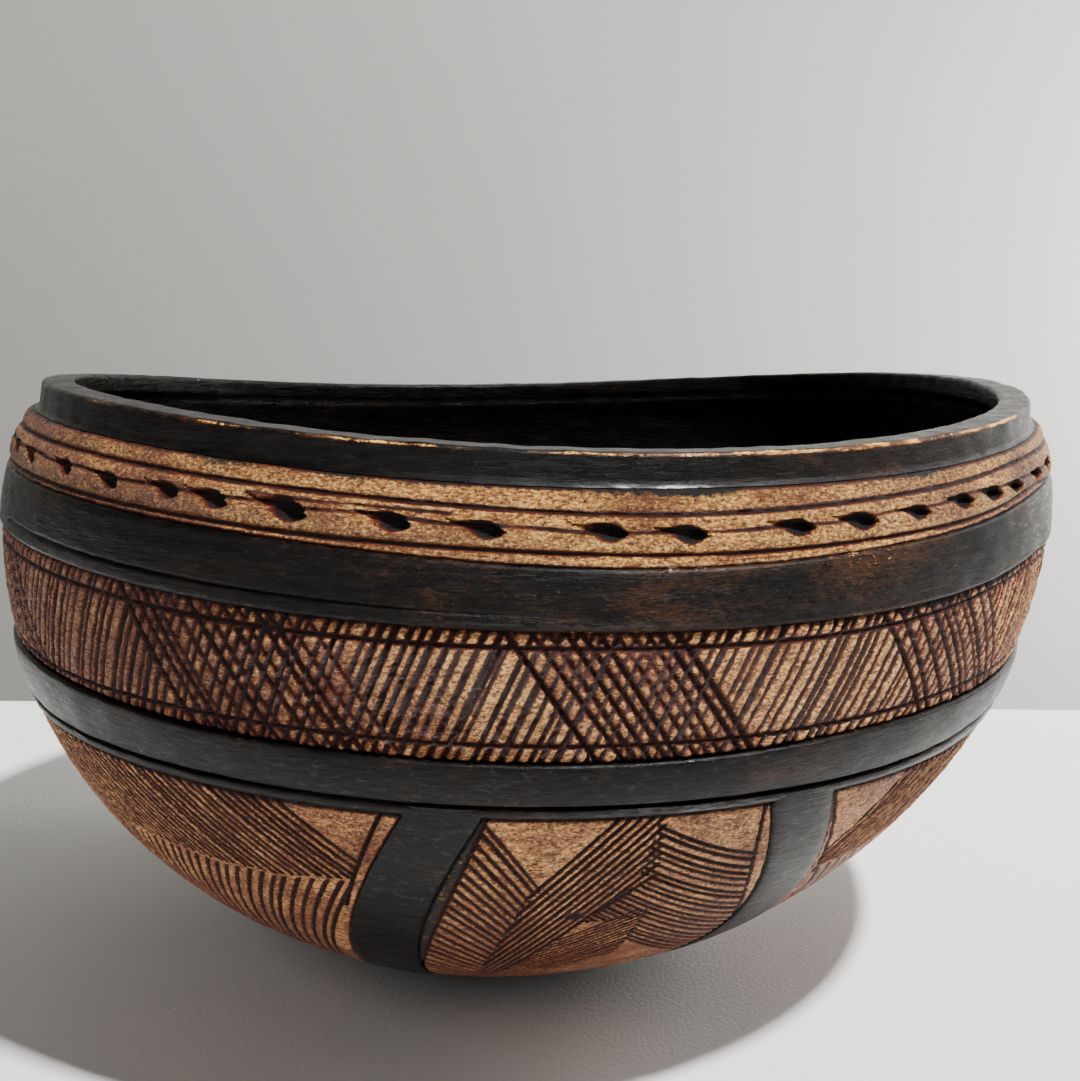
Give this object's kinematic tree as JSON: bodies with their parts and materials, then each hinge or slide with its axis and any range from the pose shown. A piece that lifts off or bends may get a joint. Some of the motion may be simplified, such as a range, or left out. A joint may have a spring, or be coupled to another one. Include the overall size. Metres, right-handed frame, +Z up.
{
  "type": "carved wooden bowl",
  "caption": "Deep round hand-carved wooden bowl with a black rim, incised bare-wood bands and ribbed panels, leaning slightly on a small flat base.",
  "frame": {"origin": "middle of the bounding box in plan, at the height of the flat base that the bowl rests on", "axes": "+Z up out of the mouth, front of the bowl towards -Y, and the rim's higher end near +X"},
  "size_m": [0.2542, 0.2544, 0.1392],
  "materials": {
    "black_stained_wood": "satin black stain, worn to bare wood at the rim's outer edge",
    "golden_bare_wood": "scraped bare wood, speckled golden brown, satin",
    "hatched_bare_wood": "bare wood with dark stain left in the cut lines, satin",
    "panel_bare_wood": "reddish-brown bare wood with dark stain left in the cut lines, satin"
  },
  "bodies": {
    "root": {"bowl_body": "black_stained_wood", "laced_band": "golden_bare_wood", "hatched_band": "hatched_bare_wood", "narrow_panel_1": "panel_bare_wood", "narrow_panel_2": "panel_bare_wood", "narrow_panel_3": "panel_bare_wood", "wide_panel_1": "panel_bare_wood", "wide_panel_2": "panel_bare_wood", "wide_panel_3": "panel_bare_wood"}
  },
  "joints": []
}
